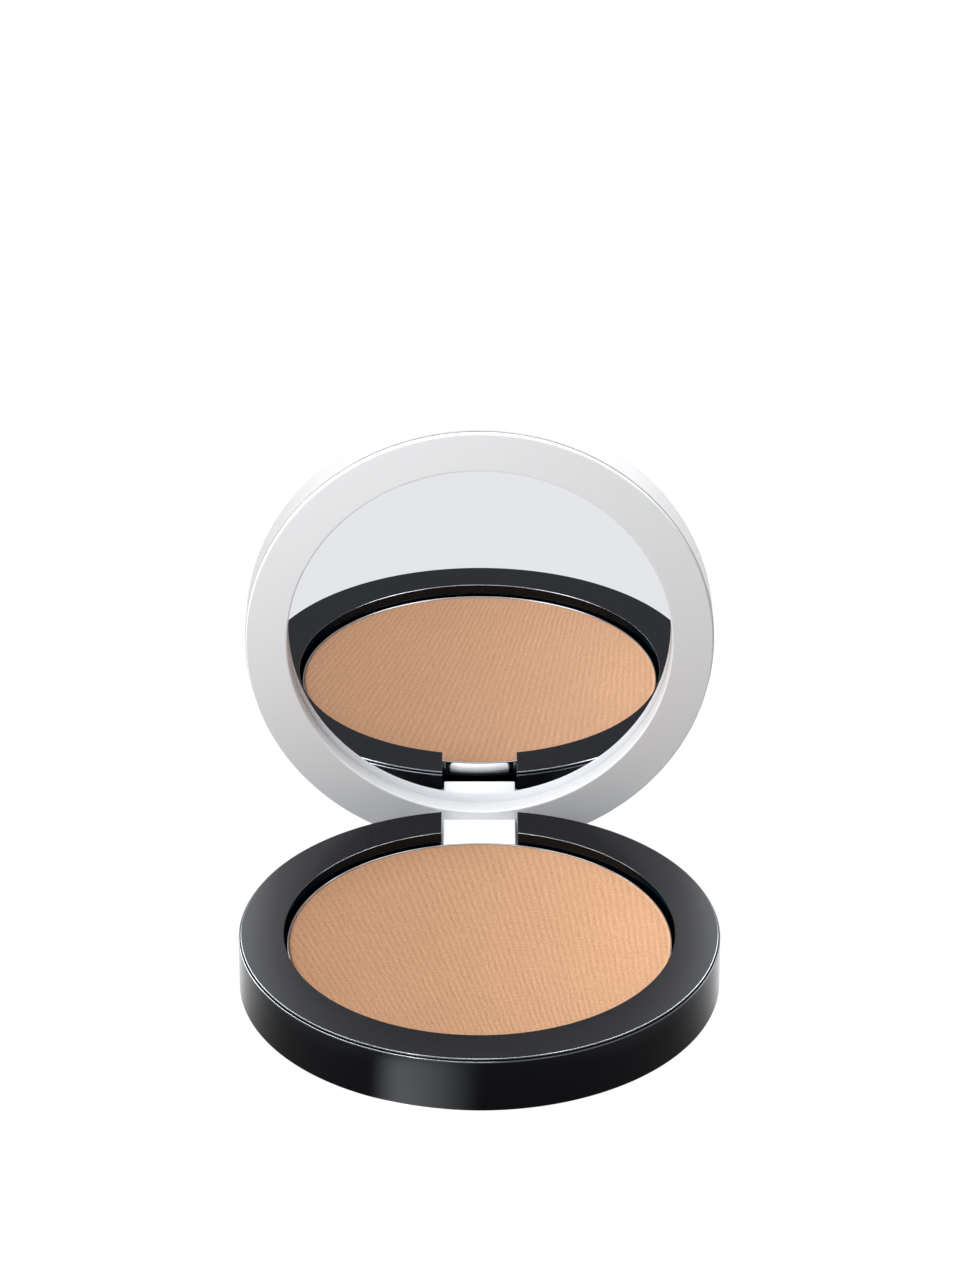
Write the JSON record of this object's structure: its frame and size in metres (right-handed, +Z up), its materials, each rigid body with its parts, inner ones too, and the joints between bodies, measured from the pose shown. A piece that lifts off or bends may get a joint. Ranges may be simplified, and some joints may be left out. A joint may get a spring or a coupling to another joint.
{
  "type": "pressed powder compact",
  "caption": "Round pressed-powder compact, black base with a tan powder pan, white hinged lid with an inset round mirror.",
  "frame": {"origin": "centre of the flat underside of the base, on the surface that it stands on", "axes": "+Z up, -Y towards the user at the front, hinge at the back along X, lid standing open"},
  "size_m": [0.0748, 0.0857, 0.0753],
  "materials": {
    "black_plastic": "polished black ABS",
    "black_deck": "polished black ABS, flat deck",
    "pan_aluminium": "bright drawn sheet",
    "pressed_powder": "matt pressed powder with fine diagonal press-cloth ribs",
    "adhesive": "thin adhesive layer",
    "label_film": "blank satin black film",
    "pin_steel": "drawn wire pin",
    "magnet_nickel": "nickel plated",
    "white_plastic": "white ABS, satin gloss",
    "white_frame": "white ABS, satin gloss",
    "mirror_silver": "silvered glass"
  },
  "bodies": {
    "base": {"base_shell": "black_plastic", "deck_tray": "black_deck", "powder_pan": "pan_aluminium", "powder_cake": "pressed_powder", "pan_adhesive": "adhesive", "base_label": "label_film", "hinge_pin": "pin_steel", "base_magnet": "magnet_nickel"},
    "lid": {"lid_shell": "white_plastic", "lid_frame": "white_frame", "mirror": "mirror_silver", "mirror_tape": "adhesive", "lid_magnet": "magnet_nickel"}
  },
  "joints": [
    {"name": "lid_hinge", "type": "hinge", "parent": "base", "child": "lid", "pos_m": [0, 0.03405, 0.00385], "axis": [1, 0, 0], "range_deg": [0, 90.3]}
  ]
}
